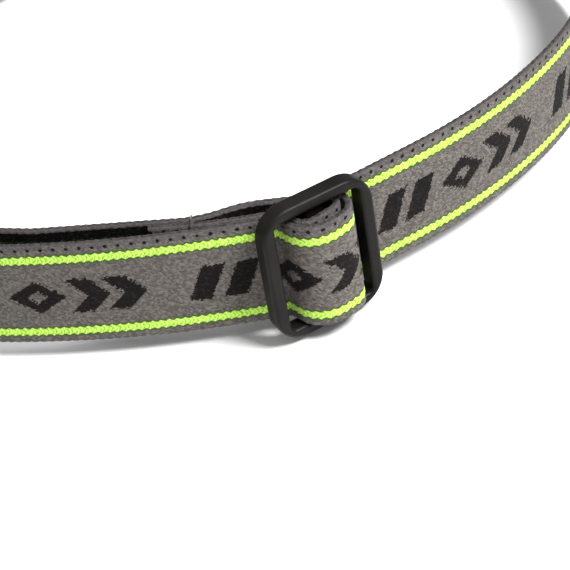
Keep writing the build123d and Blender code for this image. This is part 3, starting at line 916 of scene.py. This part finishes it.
# ---- forehead pad -------------------------------------------------------------------------------------
def make_pad_fabric():
    material, tree, shader = new_material("pad_fabric")
    place = texture_place(tree)
    holes = tree.nodes.new("ShaderNodeTexVoronoi")
    holes.inputs["Scale"].default_value = 620.0
    holes.inputs["Randomness"].default_value = 0.25
    tree.links.new(place, holes.inputs["Vector"])
    hole = Field(tree, holes.outputs["Distance"])
    fuzz = noise(tree, place, 1800.0, 3.0)
    weave = ramp(
        tree,
        hole + fuzz * 0.25,
        (0.2, srgb(14, 14, 15)),
        (0.5, srgb(44, 44, 47)),
        (0.9, srgb(62, 62, 66)),
    )
    tree.links.new(weave, shader.inputs["Base Color"])
    shader.inputs["Roughness"].default_value = 0.95
    shader.inputs["Sheen Weight"].default_value = 0.3
    bump(tree, shader, hole, 0.25 * MM)
    return material


PAD_COLUMNS, PAD_ROWS = 116, 50
PAD_RADIUS = 83.55 * MM  # where its back lies on the bracket
PAD_DEPTH = 5 * MM
RIM_DEPTH = 1.2 * MM
CHANNEL_PLACES = (-17 * MM, -6 * MM, 6 * MM, 17 * MM)
CHANNEL_DEPTH = 1.6 * MM
CHANNEL_HALF = 1.1 * MM
CORNER_PULL = 0.045


def forehead_cushion():
    """A thin foam pad, curved like the bracket, crowned towards the head, with a pressed rim and
    four pressed channels."""
    columns, rows = PAD_COLUMNS, PAD_ROWS
    half_x = (pad_high.x - pad_low.x) / 2
    half_z = (pad_high.z - pad_low.z) / 2
    middle_z = (pad_high.z + pad_low.z) / 2
    centre_y = pad_low.y + PAD_RADIUS
    mesh = bpy.data.meshes.new("forehead_cushion")
    work = bmesh.new()
    sides = []
    for front in (True, False):
        grid = []
        for i in range(columns + 1):
            across = -1 + 2 * i / columns
            line = []
            for j in range(rows + 1):
                rise = -1 + 2 * j / rows
                rim = (1 - abs(across) ** 12) ** 0.5 * (1 - abs(rise) ** 7) ** 0.5
                channel = sum(
                    math.exp(-(((across * half_x - spot) / CHANNEL_HALF) ** 2)) for spot in CHANNEL_PLACES
                )
                crown = 0.88 + 0.12 * math.cos(across * math.pi / 2)
                full = RIM_DEPTH + (PAD_DEPTH - RIM_DEPTH) * rim * crown
                thick = full - CHANNEL_DEPTH * min(1.0, channel) * rim
                corner = 1 - CORNER_PULL * (abs(across) ** 6) * (abs(rise) ** 6)
                x = across * half_x * corner
                z = middle_z + rise * half_z * corner
                radius = PAD_RADIUS - (thick if front else 0.0)
                line.append(work.verts.new((x, centre_y - math.sqrt(radius**2 - x**2), z)))
            grid.append(line)
        sides.append(grid)
    for grid in sides:
        for i in range(columns):
            for j in range(rows):
                work.faces.new((grid[i][j], grid[i + 1][j], grid[i + 1][j + 1], grid[i][j + 1]))
    front, back = sides
    ring = [(i, 0) for i in range(columns)] + [(columns, j) for j in range(rows)]
    ring += [(i, rows) for i in range(columns, 0, -1)] + [(0, j) for j in range(rows, 0, -1)]
    for (a, b), (c, d) in zip(ring, ring[1:] + ring[:1]):
        work.faces.new((front[a][b], front[c][d], back[c][d], back[a][b]))
    bmesh.ops.recalc_face_normals(work, faces=work.faces)
    for face in work.faces:
        face.smooth = True
    work.to_mesh(mesh)
    work.free()
    mesh.materials.append(make_pad_fabric())
    piece = bpy.data.objects.new("forehead_cushion", mesh)
    bpy.context.collection.objects.link(piece)
    return piece


cushion = forehead_cushion()
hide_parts("forehead_pad")
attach(cushion, "band")


# ---- contact springs ------------------------------------------------------------------------------------
SPRING_SEAT = 0.5 * MM
SPRING_REACH = 2.4 * MM
SPRING_TURNS = 3.5
STEPS_PER_TURN = 28
SPRING_FOOT = 3.2 * MM  # coil radius at the seat
SPRING_TAPER = 1.2 * MM
SEAT_RING = 3.7 * MM
SEAT_RING_STEPS = 40
WIRE_RADIUS = 0.22 * MM


def contact_coils():
    """Two conical coil springs on their seats, one at each end of the battery bay."""
    low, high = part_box("contact_springs")
    upper_low, upper_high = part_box("battery_upper")
    lower_low, lower_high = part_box("battery_lower")
    paths = []
    steps = int(SPRING_TURNS * STEPS_PER_TURN)
    for wall_x, inward, cell_low, cell_high in (
        (low.x, 1, upper_low, upper_high),
        (high.x, -1, lower_low, lower_high),
    ):
        axis_y = (cell_low.y + cell_high.y) / 2
        axis_z = (cell_low.z + cell_high.z) / 2

        def around(distance, radius, angle):
            return (
                wall_x + inward * distance,
                axis_y + radius * math.cos(angle),
                axis_z + radius * math.sin(angle),
            )

        coil = []
        for i in range(steps + 1):
            share = i / (SPRING_TURNS * STEPS_PER_TURN)
            angle = 2 * math.pi * SPRING_TURNS * share
            radius = SPRING_FOOT - SPRING_TAPER * share
            coil.append(around(SPRING_SEAT + SPRING_REACH * share, radius, angle))
        paths.append(coil)
        turn = 2 * math.pi / SEAT_RING_STEPS
        paths.append([around(SPRING_SEAT / 2, SEAT_RING, turn * i) for i in range(SEAT_RING_STEPS + 1)])
    piece = tube("contact_coils", paths, WIRE_RADIUS, CONTACT_METAL)
    return piece


coils = contact_coils()
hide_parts("contact_springs")
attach(coils, "lamp")


# ---- floor, light and camera ------------------------------------------------------------------------------
def make_floor():
    material, tree, shader = new_material("floor")
    shade = noise(tree, texture_place(tree), 6.0, 2.0)
    tree.links.new(
        ramp(tree, shade, (0.3, (0.90, 0.90, 0.90)), (0.7, (0.93, 0.93, 0.93))), shader.inputs["Base Color"]
    )
    shader.inputs["Roughness"].default_value = 0.9
    bpy.ops.mesh.primitive_plane_add(size=8.0, location=(0, 0, 0))
    floor = bpy.context.object
    floor.name = "floor"
    floor.data.materials.append(material)


def soft_light(name, place, target, size, power):
    light = bpy.data.lights.new(name, "AREA")
    light.shape = "DISK"
    light.size = size
    light.energy = power
    lamp = bpy.data.objects.new(name, light)
    lamp.location = place
    lamp.rotation_euler = (Vector(target) - Vector(place)).to_track_quat("-Z", "Y").to_euler()
    bpy.context.collection.objects.link(lamp)


# The view: over the slider, looking across the loop from the wearer's left and above.
VIEW_TURN = math.radians(64)  # the picture's right, from the X axis
VIEW_TILT = math.radians(37)
VIEW_ROLL = math.radians(-10.15)
VIEW_DISTANCE = 401 * MM
VIEW_FIELD = math.radians(16.34102)
VIEW_MIDDLE = Vector((70.31, -25.28, 3.0)) * MM

LIGHT_TARGET = (0.05, -0.03, 0.01)
KEY_PLACE = (0.52, 0.30, 0.76)
FILL_PLACE = (0.1, -0.8, 0.9)
STUDIO_STRENGTH = 0.46


def make_camera():
    right = Vector((math.cos(VIEW_TURN), math.sin(VIEW_TURN), 0))
    away = Vector((-math.sin(VIEW_TURN), math.cos(VIEW_TURN), 0))
    forward = away * math.cos(VIEW_TILT) - Vector((0, 0, math.sin(VIEW_TILT)))
    above = away * math.sin(VIEW_TILT) + Vector((0, 0, math.cos(VIEW_TILT)))
    side = right * math.cos(VIEW_ROLL) + above * math.sin(VIEW_ROLL)
    up = above * math.cos(VIEW_ROLL) - right * math.sin(VIEW_ROLL)
    data = bpy.data.cameras.new("camera")
    data.sensor_fit = "HORIZONTAL"
    data.angle = VIEW_FIELD
    data.clip_start = 0.01
    camera = bpy.data.objects.new("camera", data)
    turned = Matrix((side, up, -forward)).transposed().to_4x4()
    camera.matrix_world = Matrix.Translation(VIEW_MIDDLE - forward * VIEW_DISTANCE) @ turned
    bpy.context.collection.objects.link(camera)
    bpy.context.scene.camera = camera


def make_light():
    world = bpy.data.worlds.new("studio")
    world.use_nodes = True
    world.node_tree.nodes["Background"].inputs["Color"].default_value = (1.0, 1.0, 1.0, 1.0)
    world.node_tree.nodes["Background"].inputs["Strength"].default_value = STUDIO_STRENGTH
    bpy.context.scene.world = world
    soft_light("key", KEY_PLACE, LIGHT_TARGET, size=0.4, power=18.0)
    soft_light("fill", FILL_PLACE, LIGHT_TARGET, size=0.7, power=0.6)
    bpy.context.scene.view_settings.view_transform = "Standard"


make_floor()
make_light()
make_camera()
